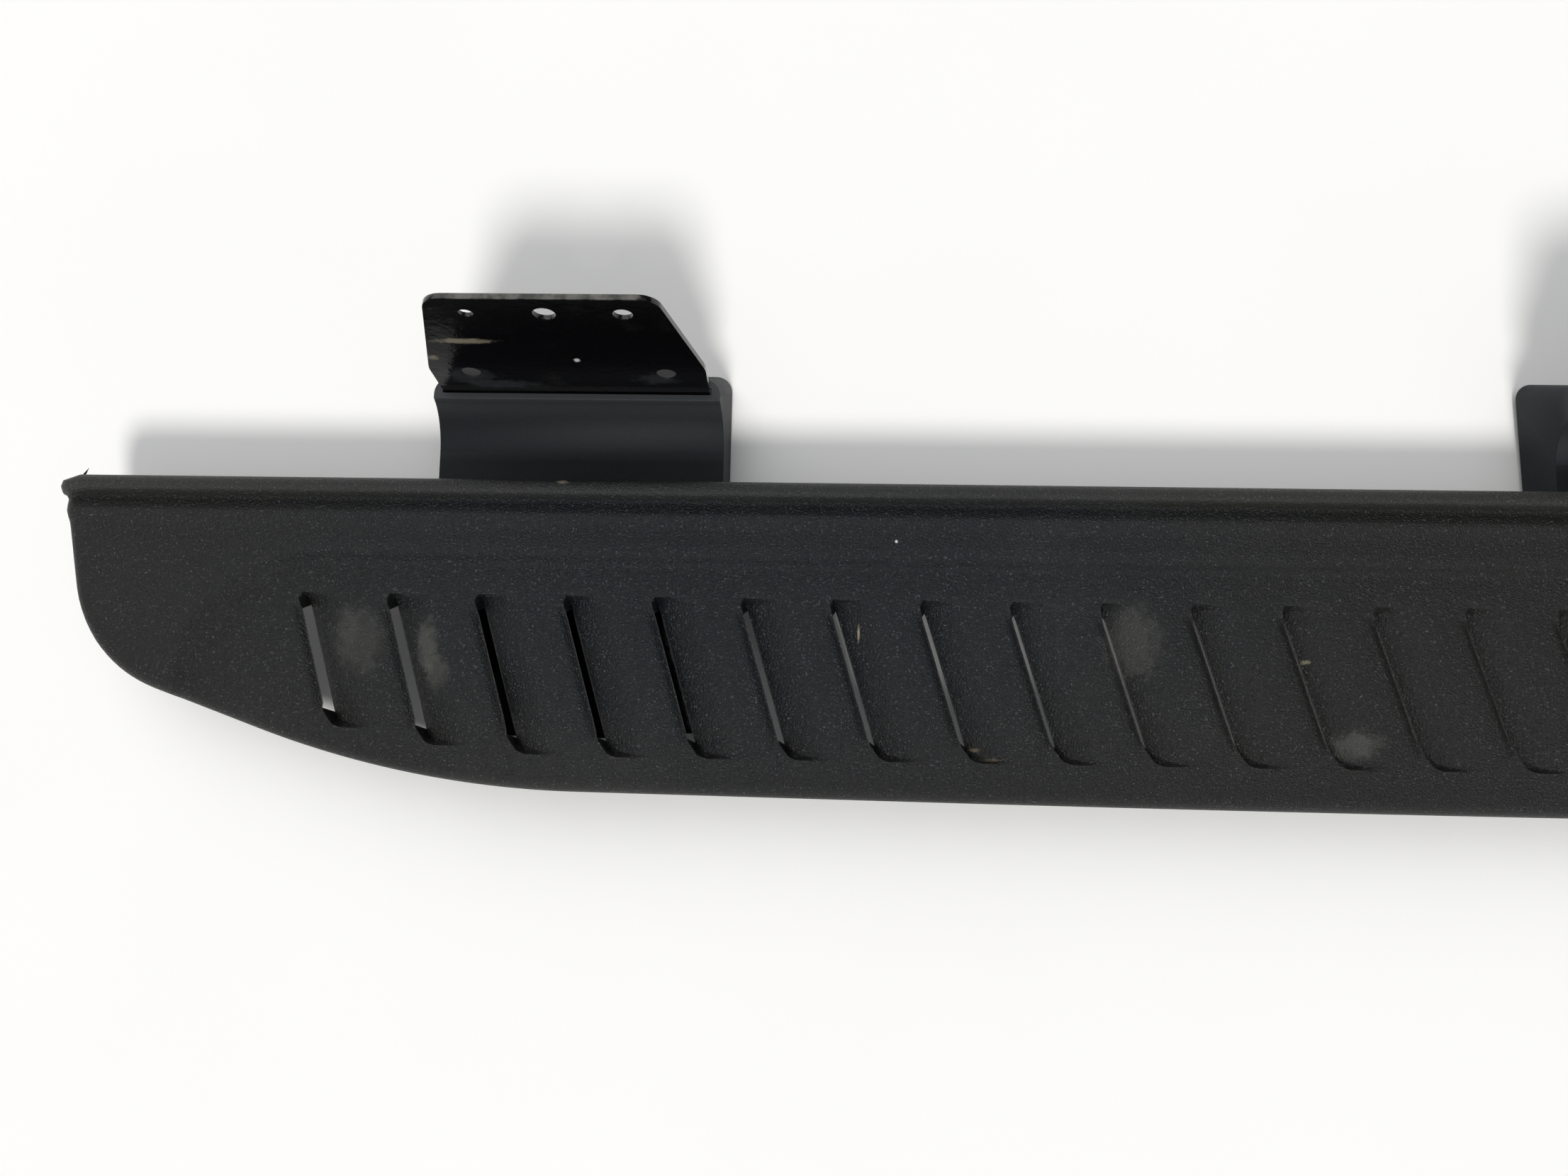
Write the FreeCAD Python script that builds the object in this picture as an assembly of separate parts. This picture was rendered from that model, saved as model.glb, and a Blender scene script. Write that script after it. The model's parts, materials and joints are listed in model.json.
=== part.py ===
"""Side step for a vehicle: a pressed steel board with louvres in its tread, on three folded brackets.

While it is drawn, x runs along the board from its middle, y runs inboard from the line where the louvres'
slits start, and z is measured from the top of the tread. At the end everything moves so that the origin is
at the bottom centre of the whole step. All lengths are in millimetres and all angles in degrees.
"""
import FreeCAD
import Part
import math
import os

Vector = FreeCAD.Vector

# Board outline, seen from above
board_length = 1886.0
inboard_width = 71.0
end_rake = 20.0
end_depth = 106.0
end_radius = 76.0
sweep_length = 208.0
sweep_depth = 172.7
sweep_radius = 560.0
bow_depth = 181.3
bow_share = 0.67
corner_radius = 8.0

# Board section
board_sheet = 3.0
tread_height = 55.0
edge_radius = 6.5
skirt_depth = 26.0
lip_skirt_depth = 12.0
skirt_rise_start = -40.0
skirt_rise_end = 30.0
step_height = 4.5
step_line = 24.0
step_angle = 45.0
fade_line = -95.0
lip_height = 12.0
lip_width = 10.0
lip_round = 4.5
groove_height = 4.0
groove_offset = 13.5
groove_round = 4.0
roll_height = 7.5
roll_offset = 22.0
roll_round = 5.0
roll_foot_offset = 29.0

# Tread, the flat floor that is pressed below the band around it
tread_end_inset = 76.0
tread_corner_radius = 75.0

# Louvres, sheared along a slanted slit and pressed down to its right
louvre_pitch = 50.0
louvre_slant = 16.6
louvre_width = 21.4
louvre_depth = 9.3
louvre_gap = 4.5
louvre_top = 4.7
louvre_foot = -82.6
louvre_edge_margin = 20.6
louvre_end_margin = 140.0
louvre_head_round = 3.5
louvre_foot_round = 11.0
louvre_corner_facets = 3
louvre_shift = -2.0

# Brackets, each an arm under the board and a leaning mounting plate
bracket_names = ("front", "middle", "rear")
bracket_spacing_share = 0.345
bracket_sheet = 3.0
bracket_width = 154.0
bracket_bend = 5.0
knee_bend = 6.0
arm_drop = 27.0
arm_end = -74.0
arm_end_drop = 8.0
arm_relief = 8.0
arm_knee_margin = 14.0
plate_front = 124.0
plate_lean = 8.0
plate_height = 105.0
plate_straight = 30.0
plate_top_width = 116.0
plate_knee_round = 25.0
plate_top_round = 12.0
upper_hole_row = 90.0
upper_hole_spacing = 40.0
upper_hole_radii = (4.0, 6.0, 5.25)
lower_hole_row = 25.0
lower_hole_spread = 54.6

# Gussets, welded between plate and arm under the cover
gusset_sheet = 3.0
gusset_spread = 45.0
gusset_length = 22.0
gusset_height = 17.0
gusset_corner_cut = 8.0

# Fasteners and pads between board and arm
stud_radius = 4.0
stud_spread = 50.0
stud_row = 15.2
stud_spare_length = 2.0
arm_hole_clearance = 0.5
hex_across_flats = 13.0
nut_height = 8.0
nut_thread_clearance = 0.05
pad_width = 16.0
pad_inboard_end = -36.0
pad_outboard_end = -64.0

# Covers, moulded plastic hoods over the brackets' knees
cover_wall = 2.5
cover_floor_gap = 3.0
cover_top = 1.0
cover_side_margin = 5.8
cover_side_flare = 3.2
crease_gap = 4.0
cover_back_margin = 5.0
cover_rear_reach = 152.0
cover_front_reach = 62.0
cove_foot_margin = 8.0
cove_height = -20.5
cove_front_height = -22.2
cove_round = 28.0
cover_rear_round = 10.0
plate_slot_clearance = 0.6
lug_wall = 3.0
lug_width = 24.0
lug_clearance = 0.3
lug_root = 6.0
lug_chamfer = 6.0

# Clips that hold each cover's lugs to its plate
clip_radius = 5.5
clip_clearance = 0.25
clip_head_width = 15.0
clip_head_height = 2.5
clip_recess = 0.6

# Room that cutting bodies reach past what they cut
overrun = 20.0


def shifted(corners, distance, closed=True):
    """Move a path of (u, v, radius) corners to its left by a distance, with round corners kept parallel."""
    count = len(corners)
    moved = []
    for i, (u, v, radius) in enumerate(corners):
        before = corners[i - 1] if closed or i > 0 else None
        after = corners[(i + 1) % count] if closed or i < count - 1 else None
        arriving = heading(before, corners[i]) if before else heading(corners[i], after)
        leaving = heading(corners[i], after) if after else arriving
        turn = arriving[0] * leaving[1] - arriving[1] * leaving[0]
        reach = distance / (1 + arriving[0] * leaving[0] + arriving[1] * leaving[1])
        moved_radius = max(radius - math.copysign(distance, distance * turn), 0) if radius else 0
        across = (arriving[1] + leaving[1]) * reach
        along = (arriving[0] + leaving[0]) * reach
        moved.append((u - across, v + along, moved_radius))
    return moved


def heading(start, end):
    """Unit direction from one corner to the next."""
    length = math.hypot(end[0] - start[0], end[1] - start[1])
    return (end[0] - start[0]) / length, (end[1] - start[1]) / length


def rounded_face(corners, place):
    """Face inside a closed path of (u, v, radius) corners, put into space by place(u, v)."""
    count = len(corners)
    stops = []
    for i, (u, v, radius) in enumerate(corners):
        arriving = heading(corners[i - 1], corners[i])
        leaving = heading(corners[i], corners[(i + 1) % count])
        half_turn = math.acos(max(-1, min(1, arriving[0] * leaving[0] + arriving[1] * leaving[1]))) / 2
        tangent = radius * math.tan(half_turn)
        start = (u - arriving[0] * tangent, v - arriving[1] * tangent)
        end = (u + leaving[0] * tangent, v + leaving[1] * tangent)
        middle = None
        if radius:
            bisector = (leaving[0] - arriving[0], leaving[1] - arriving[1])
            size = math.hypot(*bisector)
            sagitta = radius / math.cos(half_turn) - radius
            middle = (u + bisector[0] / size * sagitta, v + bisector[1] / size * sagitta)
        stops.append((start, middle, end))
    edges = []
    for i, (start, middle, end) in enumerate(stops):
        if middle:
            edges.append(Part.Arc(place(*start), place(*middle), place(*end)).toShape())
        following = stops[(i + 1) % count][0]
        if math.hypot(following[0] - end[0], following[1] - end[1]) > 1e-6:
            edges.append(Part.makeLine(place(*end), place(*following)))
    return Part.Face(Part.Wire(edges))


def lengthwise(corners, half_length):
    """Prism along x of a path drawn in y and z."""
    face = rounded_face(corners, lambda y, z: Vector(-half_length, y, z))
    return face.extrude(Vector(2 * half_length, 0, 0))


def upright(corners, low, high):
    """Prism along z of a path drawn in x and y."""
    face = rounded_face(corners, lambda x, y: Vector(x, y, low))
    return face.extrude(Vector(0, 0, high - low))


def cross(corners, start, end):
    """Prism along y of a path drawn in x and z."""
    face = rounded_face(corners, lambda x, z: Vector(x, start, z))
    return face.extrude(Vector(0, end - start, 0))


def post(radius, x, y, low, high):
    """Upright cylinder."""
    return Part.makeCylinder(radius, high - low, Vector(x, y, low))


def hex_post(x, y, low, high):
    """Upright hexagon of the studs' and nuts' spanner size."""
    corner_radius = hex_across_flats / math.sqrt(3)
    turns = [math.radians(60 * i) for i in range(6)]
    corners = [(x + corner_radius * math.cos(turn), y + corner_radius * math.sin(turn), 0) for turn in turns]
    return upright(corners, low, high)


# Board

half_board = board_length / 2
floor_level = -tread_height


def outline_corners(inboard):
    """Plan outline: straight inboard edge, raked ends, long sweeps and a gently bowed outboard edge."""
    left = [(-half_board + end_rake * (inboard_width - inboard) / end_depth, inboard, corner_radius),
            (-half_board + end_rake, inboard_width - end_depth, end_radius),
            (-half_board + sweep_length, inboard_width - sweep_depth, sweep_radius)]
    right = [(-x, y, radius) for x, y, radius in reversed(left)]
    bow_radius = bow_share * (half_board - sweep_length) ** 2 / (bow_depth - sweep_depth)
    return left + [(0, inboard_width - bow_depth, bow_radius)] + right


def band_height(y):
    """Height of the gently sloping band, which falls to the tread's level at the fade line."""
    return step_height * (y - fade_line) / (step_line - fade_line)


def slab(inset):
    """Body under the sloping band, with its upper edge rounded over, smaller all round by an inset."""
    outline = shifted(outline_corners(inboard_width - lip_width), inset)
    body = upright(outline, floor_level - overrun * (inset + 1), -inset)
    top = max(body.Faces, key=lambda face: face.CenterOfMass.z)
    round_over = edge_radius - inset
    if inset:
        body = body.makeChamfer(round_over * (2 - math.sqrt(2)), top.OuterWire.Edges)
    else:
        body = body.makeFillet(round_over, top.OuterWire.Edges)
    tilt = math.degrees(math.atan(step_height / (step_line - fade_line)))
    body.rotate(Vector(0, fade_line, 0), Vector(1, 0, 0), tilt)
    return body


def ridge(inset):
    """Lip, groove and roll along the inboard edge, smaller all round by an inset."""
    deep = floor_level - overrun * inset
    lip = inboard_width - lip_width
    foot = inboard_width - roll_foot_offset
    section = [(foot, deep, 0), (inboard_width, deep, 0), (inboard_width, lip_height, lip_round),
               (lip, lip_height, lip_round), (inboard_width - groove_offset, groove_height, groove_round),
               (inboard_width - roll_offset, roll_height, roll_round), (foot, band_height(foot), 0)]
    body = upright(shifted(outline_corners(inboard_width), inset), deep, lip_height + overrun)
    return body.common(lengthwise(shifted(section, inset), board_length))


outline_wire = rounded_face(outline_corners(inboard_width), lambda x, y: Vector(x, y, 0)).OuterWire


def tread_pocket(inset):
    """Room above the tread, with a sloping wall along the step line and round its ends."""
    slope = math.tan(math.radians(step_angle))
    outboard = inboard_width - bow_depth - overrun
    end = half_board - tread_end_inset
    spread = inset * math.tan(math.radians(step_angle / 2))
    rise = lip_height + overrun
    foot = [(-end, outboard, 0), (end, outboard, 0), (end, step_line, tread_corner_radius),
            (-end, step_line, tread_corner_radius)]
    head = shifted(foot, -spread - rise / slope)
    low = rounded_face(shifted(foot, -spread), lambda x, y: Vector(x, y, -inset))
    high = rounded_face(head, lambda x, y: Vector(x, y, rise - inset))
    return Part.makeLoft([low.OuterWire, high.OuterWire], True, True)


def form(inset):
    """Full body under the board's upper surface, or under its lower surface for an inset of one sheet."""
    return slab(inset).fuse(ridge(inset)).cut(tread_pocket(inset))


def under_skirt():
    """Room below the skirt's lower edge, which rises from the outboard side to the lip."""
    outboard = inboard_width - bow_depth - overrun
    inboard = inboard_width + overrun
    deep = floor_level - overrun * (board_sheet + 1)
    section = [(outboard, deep, 0), (inboard, deep, 0), (inboard, -lip_skirt_depth, 0),
               (skirt_rise_end, -lip_skirt_depth, 0), (skirt_rise_start, -skirt_depth, 0),
               (outboard, -skirt_depth, 0)]
    return lengthwise(section, board_length)


def outboard_edge(x):
    """Place of the outboard edge at a distance along the board."""
    line = Part.makeLine(Vector(x, inboard_width - bow_depth - overrun, 0), Vector(x, 0, 0))
    return line.distToShape(outline_wire)[1][0][0].y


def louvre_places():
    """Distance along the board and lower end of each louvre, kept clear of the board's edge and ends."""
    lean = math.tan(math.radians(louvre_slant))
    reach = louvre_width - louvre_foot * lean
    first = math.ceil((-half_board + louvre_end_margin - louvre_shift) / louvre_pitch)
    last = math.floor((half_board - louvre_end_margin - reach - louvre_shift) / louvre_pitch)
    places = []
    for number in range(first, last + 1):
        x = number * louvre_pitch + louvre_shift
        places.append((x, max(louvre_foot, outboard_edge(x + reach) + louvre_edge_margin)))
    return places


def slanted(section, x, top, foot):
    """Prism of a section in x and z, carried outboard along the louvres' slant."""
    lean = math.tan(math.radians(louvre_slant))
    corners = [Vector(x - top * lean + u, top, z) for u, z in section]
    face = Part.Face(Part.makePolygon(corners + corners[:1]))
    return face.extrude(Vector((top - foot) * lean, foot - top, 0))


def faceted(corners, facets):
    """The same path of (u, v, radius) corners with each round corner as a few straight facets."""
    path = []
    for i, (u, v, radius) in enumerate(corners):
        if not radius:
            path.append((u, v, 0))
            continue
        arriving = heading(corners[i - 1], corners[i])
        leaving = heading(corners[i], corners[(i + 1) % len(corners)])
        turn = math.atan2(arriving[0] * leaving[1] - arriving[1] * leaving[0],
                          arriving[0] * leaving[0] + arriving[1] * leaving[1])
        side = math.copysign(radius, turn)
        tangent = radius * math.tan(abs(turn) / 2)
        centre_u = u - arriving[0] * tangent - arriving[1] * side
        centre_v = v - arriving[1] * tangent + arriving[0] * side
        start = math.atan2(-arriving[0] * side, arriving[1] * side)
        for stop in range(facets + 1):
            angle = start + turn * stop / facets
            path.append((centre_u + radius * math.cos(angle), centre_v + radius * math.sin(angle), 0))
    return path


def louvre_window(x, foot):
    """Plan outline of one louvre, with its slit on the left and round corners at the slit's two ends."""
    lean = math.tan(math.radians(louvre_slant))
    head_x = x - louvre_top * lean
    foot_x = x - foot * lean
    corners = [(head_x, louvre_top, louvre_head_round), (foot_x, foot, louvre_foot_round),
               (foot_x + louvre_width + overrun, foot, 0), (head_x + louvre_width + overrun, louvre_top, 0)]
    return faceted(corners, louvre_corner_facets)


def louvre(x, foot):
    """Room over one louvre's ramp, and the pressed metal under it: a ramp and end walls."""
    steepness = louvre_depth / louvre_width
    thick = board_sheet * math.hypot(1, steepness)
    fade = louvre_width + (thick - board_sheet) / steepness
    gap_height = (louvre_gap - louvre_width) * steepness - thick
    above = overrun * steepness
    room = slanted([(0, -louvre_depth), (louvre_width + overrun, above), (0, above)], x, louvre_top, foot)
    room = room.common(upright(louvre_window(x, foot), floor_level, overrun))
    pressed = slanted([(louvre_gap, gap_height), (fade, -board_sheet), (fade, -board_sheet / 2),
                       (louvre_gap, -board_sheet / 2)], x, louvre_top + board_sheet, foot - board_sheet)
    return room, pressed.cut(room)


def step_board():
    """Pressed board with its louvres."""
    shell = form(0).cut(form(board_sheet)).cut(under_skirt())
    rooms, ramps = zip(*(louvre(x, foot) for x, foot in louvre_places()))
    return shell.cut(Part.makeCompound(rooms)).fuse(list(ramps)).removeSplitter()


# Brackets

arm_level = -arm_drop
half_bracket = bracket_width / 2
lean_sine = math.sin(math.radians(plate_lean))
lean_cosine = math.cos(math.radians(plate_lean))
knee = plate_front - arm_drop * lean_sine / lean_cosine
flange_end = knee - arm_knee_margin


def on_plate(x, up, depth):
    """Point at a distance up the leaning plate from tread height, and a depth behind its front face."""
    y = plate_front + up * lean_sine + depth * lean_cosine
    return Vector(x, y, up * lean_cosine - depth * lean_sine)


def plate_axis():
    """Direction through the plate, from front to back."""
    return on_plate(0, 0, 1) - on_plate(0, 0, 0)


def plate_block(corners, front, back):
    """Prism through the plate of a path drawn in x and distance up the plate."""
    face = rounded_face(corners, lambda x, up: on_plate(x, up, front))
    return face.extrude(plate_axis() * (back - front))


def plate_pin(radius, x, up, front, back):
    """Cylinder through the plate."""
    return Part.makeCylinder(radius, back - front, on_plate(x, up, front), plate_axis())


def folded(path, thickness):
    """Closed section of a folded sheet that lies to the right of a path."""
    return path + list(reversed(shifted(path, -thickness, closed=False)))


def plate_outline():
    """Mounting plate: straight sides above the cover, then a taper to a narrower top with round corners."""
    top = plate_top_width / 2
    return [(-half_bracket, -overrun, 0), (half_bracket, -overrun, 0),
            (half_bracket, plate_straight, plate_knee_round), (top, plate_height, plate_top_round),
            (-top, plate_height, plate_top_round), (-half_bracket, plate_straight, plate_knee_round)]


def lower_holes():
    """Distances along the board of the two holes that take the cover's clips."""
    return -lower_hole_spread, lower_hole_spread


def stud_places():
    """Centres of the two studs of one bracket."""
    return [(-stud_spread, stud_row), (stud_spread, stud_row)]


def bracket():
    """Folded bracket: channel arm, end flange, knee and leaning mounting plate in one sheet."""
    channel = [(-half_bracket, floor_level, 0), (-half_bracket, arm_level, bracket_bend),
               (half_bracket, arm_level, bracket_bend), (half_bracket, floor_level, 0)]
    arm = cross(folded(channel, bracket_sheet), arm_end + bracket_bend, flange_end)
    end_path = [(arm_end, floor_level + arm_end_drop, 0), (arm_end, arm_level, bracket_bend),
                (arm_end + 2 * bracket_bend, arm_level, 0)]
    end_flange = lengthwise(folded(end_path, bracket_sheet), half_bracket - bracket_bend - arm_relief)
    top = on_plate(0, plate_height + overrun, 0)
    knee_path = [(flange_end, arm_level, 0), (knee, arm_level, knee_bend), (top.y, top.z, 0)]
    plate = lengthwise(folded(knee_path, bracket_sheet), half_bracket)
    waste = [(-bracket_width, 0, 0), (bracket_width, 0, 0), (bracket_width, plate_height + 2 * overrun, 0),
             (-bracket_width, plate_height + 2 * overrun, 0)]
    kept = plate_block(plate_outline(), -2 * overrun, 2 * overrun)
    around = plate_block(waste, -overrun, overrun).cut(kept)
    body = arm.fuse([end_flange, plate.cut(around)])
    holes = [plate_pin(radius, (i - 1) * upper_hole_spacing, upper_hole_row, -overrun, overrun)
             for i, radius in enumerate(upper_hole_radii)]
    holes += [plate_pin(clip_radius + clip_clearance, x, lower_hole_row, -overrun, overrun)
              for x in lower_holes()]
    holes += [post(stud_radius + arm_hole_clearance, x, y, floor_level, 0) for x, y in stud_places()]
    return body.cut(Part.makeCompound(holes)).removeSplitter()


def gussets():
    """Two ribs in the corner between arm and plate."""
    along = arm_level
    rise = arm_level + gusset_height
    at_rise = plate_front + rise * lean_sine / lean_cosine
    at_cut = plate_front + (along + gusset_corner_cut) * lean_sine / lean_cosine
    section = [(knee - gusset_length, along, 0), (knee - gusset_corner_cut, along, 0),
               (at_cut, along + gusset_corner_cut, 0), (at_rise, rise, 0)]
    ribs = []
    for side in (-1, 1):
        rib = lengthwise(section, gusset_sheet / 2)
        rib.translate(Vector(side * gusset_spread, 0, 0))
        ribs.append(rib)
    return Part.makeCompound(ribs)


# Fasteners


def shoulder_studs():
    """Studs welded under the tread, each with a hexagon that stands on the arm and a threaded end below."""
    low = arm_level - bracket_sheet - nut_height - stud_spare_length
    studs = []
    for x, y in stud_places():
        shoulder = hex_post(x, y, arm_level, -board_sheet)
        studs.append(shoulder.fuse(post(stud_radius, x, y, low, arm_level)))
    return Part.makeCompound(studs)


def hex_nuts():
    """Nuts under the arm."""
    seat = arm_level - bracket_sheet
    low = seat - nut_height
    nuts = []
    for x, y in stud_places():
        bore = post(stud_radius + nut_thread_clearance, x, y, low, seat)
        nuts.append(hex_post(x, y, low, seat).cut(bore))
    return Part.makeCompound(nuts)


def support_pads():
    """Rubber pads on the outer end of the arm, which carry the tread between two louvres."""
    half = pad_width / 2
    section = [(-half, arm_level), (half, arm_level), (half, -board_sheet), (-half, -board_sheet)]
    middle = (pad_inboard_end + pad_outboard_end) / 2 * math.tan(math.radians(louvre_slant))
    pads = [slanted(section, side * stud_spread + middle, pad_inboard_end, pad_outboard_end)
            for side in (-1, 1)]
    return Part.makeCompound(pads)


# Covers

cover_foot = floor_level + cover_floor_gap
half_crown = half_bracket + cover_side_margin
half_foot = half_crown + cover_side_flare
crease = plate_front - crease_gap
cover_back = plate_front + bracket_sheet + lug_clearance + lug_wall + cover_back_margin - cover_wall


def cover_form(inset):
    """Solid under the cover's outer surface: cove to the board, crown, raked back and drafted ends."""
    back_rake = (cover_rear_reach - cover_back) / (cover_top - cover_foot)
    low = cover_foot - overrun * inset
    front = cover_front_reach - overrun * inset
    cove_foot = crease - cove_foot_margin
    cove_fall = (cove_height - cove_front_height) / (cove_foot - cover_front_reach)
    section = [(front, low, 0), (cover_back + back_rake * (cover_top - low), low, 0),
               (cover_back, cover_top, 0), (crease, cover_top, 0), (cove_foot, cove_height, cove_round),
               (front, cove_height - cove_fall * (cove_foot - front), 0)]
    draft = cover_side_flare / (cover_top - cover_foot)
    foot = half_crown + draft * (cover_top - low)
    crown = half_crown - draft * overrun
    above = cover_top + overrun
    ends = [(-foot, low, 0), (foot, low, 0), (crown, above, 0), (-crown, above, 0)]
    body = lengthwise(shifted(section, inset), 2 * half_foot)
    body = body.common(cross(shifted(ends, inset), -cover_rear_reach, 2 * cover_rear_reach))
    behind = [edge for edge in body.Edges if edge.CenterOfMass.y > cover_back - cover_wall]
    rear = [edge for edge in behind if edge.BoundBox.ZLength > tread_height / 2]
    return body.makeFillet(cover_rear_round - inset, rear)


def lug():
    """Outline of one lug behind the plate, with its upper corners cut."""
    half = lug_width / 2
    top = lower_hole_row + half
    shoulder = half - lug_chamfer
    return [(-half, -lug_root, 0), (half, -lug_root, 0), (half, top - lug_chamfer, 0), (shoulder, top, 0),
            (-shoulder, top, 0), (-half, top - lug_chamfer, 0)]


def bracket_cover():
    """Hollow cover with a slot for the plate and two lugs behind it."""
    shell = cover_form(0).cut(cover_form(cover_wall))
    lug_front = bracket_sheet + lug_clearance
    lugs = [plate_block([(u + x, v, radius) for u, v, radius in lug()], lug_front, lug_front + lug_wall)
            for x in lower_holes()]
    half_slot = half_bracket + plate_slot_clearance
    slot = [(-half_slot, -overrun, 0), (half_slot, -overrun, 0), (half_slot, overrun, 0),
            (-half_slot, overrun, 0)]
    holes = [plate_pin(clip_radius + clip_clearance, x, lower_hole_row, 0, overrun) for x in lower_holes()]
    opening = plate_block(slot, -plate_slot_clearance, lug_front)
    return shell.fuse(lugs).cut(Part.makeCompound([opening] + holes)).removeSplitter()


def cover_clips():
    """Push-in clips, each with a head behind a lug and a shank that ends in the plate's hole."""
    lug_back = bracket_sheet + lug_clearance + lug_wall
    clips = []
    for x in lower_holes():
        shank = plate_pin(clip_radius, x, lower_hole_row, clip_recess, lug_back)
        half = clip_head_width / 2
        head = plate_block([(x - half, lower_hole_row - half, 0), (x + half, lower_hole_row - half, 0),
                            (x + half, lower_hole_row + half, 0), (x - half, lower_hole_row + half, 0)],
                           lug_back, lug_back + clip_head_height)
        clips.append(shank.fuse(head).removeSplitter())
    return Part.makeCompound(clips)


def all_pieces():
    """Every piece by name, in the drawing's frame."""
    pieces = {"step_board": step_board()}
    makers = {"bracket": bracket, "gussets": gussets, "cover": bracket_cover, "cover_clips": cover_clips,
              "shoulder_studs": shoulder_studs, "hex_nuts": hex_nuts, "support_pads": support_pads}
    spacing = round(board_length * bracket_spacing_share / louvre_pitch) * louvre_pitch
    for kind, make in makers.items():
        piece = make()
        for number, name in enumerate(bracket_names):
            place = (number - (len(bracket_names) - 1) / 2) * spacing
            pieces[f"{kind}_{name}"] = piece.translated(Vector(place, 0, 0))
    return pieces


def write_pieces():
    """Move the step so that the origin is at its bottom centre, and write one file for each piece."""
    pieces = all_pieces()
    box = Part.makeCompound(list(pieces.values())).optimalBoundingBox()
    home = Vector(-box.Center.x, -box.Center.y, -box.ZMin)
    os.makedirs("parts", exist_ok=True)
    for name, piece in pieces.items():
        piece.translated(home).exportStep(f"parts/{name}.step")
    print("size", round(box.XLength, 2), round(box.YLength, 2), round(box.ZLength, 2))
    print("moved by", round(home.x, 3), round(home.y, 3), round(home.z, 3))


write_pieces()
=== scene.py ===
# %% [markdown]
# # A pressed side step, dressed around its CAD frame
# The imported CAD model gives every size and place. This lesson loads it as a fixed frame, builds a softer pressed
# board over the plain one, and gives each piece a finish made of shader nodes.

# %% Load the frame
import json
import math

import bpy
import numpy as np
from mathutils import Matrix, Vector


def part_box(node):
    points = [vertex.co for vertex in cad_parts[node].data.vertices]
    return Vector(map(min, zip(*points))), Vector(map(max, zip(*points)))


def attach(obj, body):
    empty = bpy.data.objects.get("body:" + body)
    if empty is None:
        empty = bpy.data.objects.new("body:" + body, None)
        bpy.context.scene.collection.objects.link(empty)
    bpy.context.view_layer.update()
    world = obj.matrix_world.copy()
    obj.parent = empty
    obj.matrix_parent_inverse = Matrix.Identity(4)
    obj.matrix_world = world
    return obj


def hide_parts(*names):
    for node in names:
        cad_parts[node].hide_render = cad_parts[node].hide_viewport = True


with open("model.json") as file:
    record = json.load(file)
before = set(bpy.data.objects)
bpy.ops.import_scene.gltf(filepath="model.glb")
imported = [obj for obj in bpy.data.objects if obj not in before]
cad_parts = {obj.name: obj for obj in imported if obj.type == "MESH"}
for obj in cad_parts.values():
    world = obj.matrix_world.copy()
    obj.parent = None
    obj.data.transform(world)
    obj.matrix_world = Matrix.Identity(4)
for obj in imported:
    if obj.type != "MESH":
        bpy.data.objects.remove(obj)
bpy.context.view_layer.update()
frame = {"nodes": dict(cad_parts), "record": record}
scene = bpy.context.scene
MM = 0.001
BRACKETS = ("front", "middle", "rear")

# %% [markdown]
# ## The board's plan
# The real board is one steel sheet. Its outline is straight along the vehicle, raked at the ends and swept to a
# gently bowed outer edge. It could be drawn as a Bezier curve, but corners with radii describe it best, as on a
# drawing, so the outline is walked as lines and arcs in millimetres. The drawing has its own frame: y is zero where
# the slits start and z is zero on the tread. HOME is the place of that frame's origin in the CAD frame.


# %% Paths of lines and arcs
def arc_walk(corners, spacing):
    """Points of a closed path of (x, y, radius) corners: each corner is an arc, and straight runs join the arcs."""
    xyr = np.array(corners)
    before, after = np.roll(xyr, 1, 0)[:, :2], np.roll(xyr, -1, 0)[:, :2]
    arrive, leave = xyr[:, :2] - before, after - xyr[:, :2]
    arrive /= np.linalg.norm(arrive, axis=1)[:, None]
    leave /= np.linalg.norm(leave, axis=1)[:, None]
    turn = np.arctan2(arrive[:, 0] * leave[:, 1] - arrive[:, 1] * leave[:, 0], (arrive * leave).sum(1))
    points = []
    for (x, y, radius), a, angle in zip(xyr, arrive, turn):
        start = np.array([x, y]) - a * radius * math.tan(angle / 2)
        centre = start + radius * np.array([-a[1], a[0]])
        sweep = np.linspace(0, angle, 2 + int(radius * angle / spacing))[:, None]
        spoke = start - centre
        points.append(centre + spoke * np.cos(sweep) + np.array([-spoke[1], spoke[0]]) * np.sin(sweep))
    return np.vstack(points)


def resampled(path, spacing):
    """The same closed path with points at an even spacing, found by its length along the way."""
    closed = np.vstack([path, path[:1]])
    walked = np.concatenate([[0], np.cumsum(np.linalg.norm(np.diff(closed, axis=0), axis=1))])
    even = np.linspace(0, walked[-1], int(walked[-1] / spacing), endpoint=False)
    return np.stack([np.interp(even, walked, closed[:, k]) for k in (0, 1)], 1)


def inward(path, distance):
    """A closed path moved inwards: each point goes along its normal, which is the tangent turned to the left."""
    tangent = np.roll(path, -1, 0) - np.roll(path, 1, 0)
    tangent /= np.linalg.norm(tangent, axis=1)[:, None]
    return path + distance * np.stack([-tangent[:, 1], tangent[:, 0]], 1)


trial = [(0.0, 0.0, 2.0), (10.0, 0.0, 2.0), (10.0, 10.0, 2.0), (0.0, 10.0, 2.0)]
print("a rounded square of 10 mm has", len(arc_walk(trial, 1.0)), "points")

# %% Board outline
board_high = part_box("step_board")[1]
LIP_FACE, LIP_TOP = 71.0, 12.0
HOME = np.array([0.0, board_high.y / MM - LIP_FACE, board_high.z / MM - LIP_TOP])
HALF_LENGTH, RIM = 943.0, 6.5
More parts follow.
